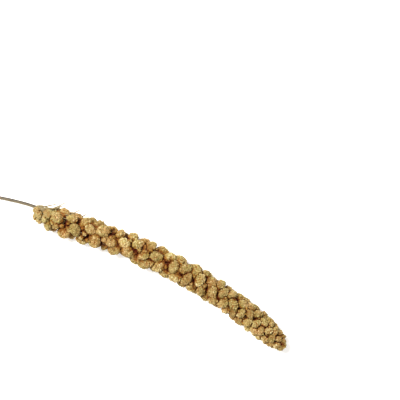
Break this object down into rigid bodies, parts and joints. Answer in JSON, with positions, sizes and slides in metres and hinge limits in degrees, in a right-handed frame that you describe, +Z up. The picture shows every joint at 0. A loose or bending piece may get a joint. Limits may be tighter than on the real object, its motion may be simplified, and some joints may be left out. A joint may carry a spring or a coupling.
{
  "type": "millet seed head",
  "caption": "Dried spray millet seed head lying on its side: a bowed spike of packed seed clusters on a bare cut stem.",
  "frame": {"origin": "on the surface that the head lies on, under the middle of the whole part", "axes": "+X along the head from the cut stem to the tip, +Y towards the side that it bows to, +Z up from the surface"},
  "size_m": [0.2778, 0.038, 0.0261],
  "materials": {
    "seeds": "dry husked seeds, matt, tan with dark brown gaps",
    "straw": "dry straw with fine ribs along it, satin"
  },
  "bodies": {
    "root": {"seed_head": "seeds", "stem": "straw"}
  },
  "joints": []
}
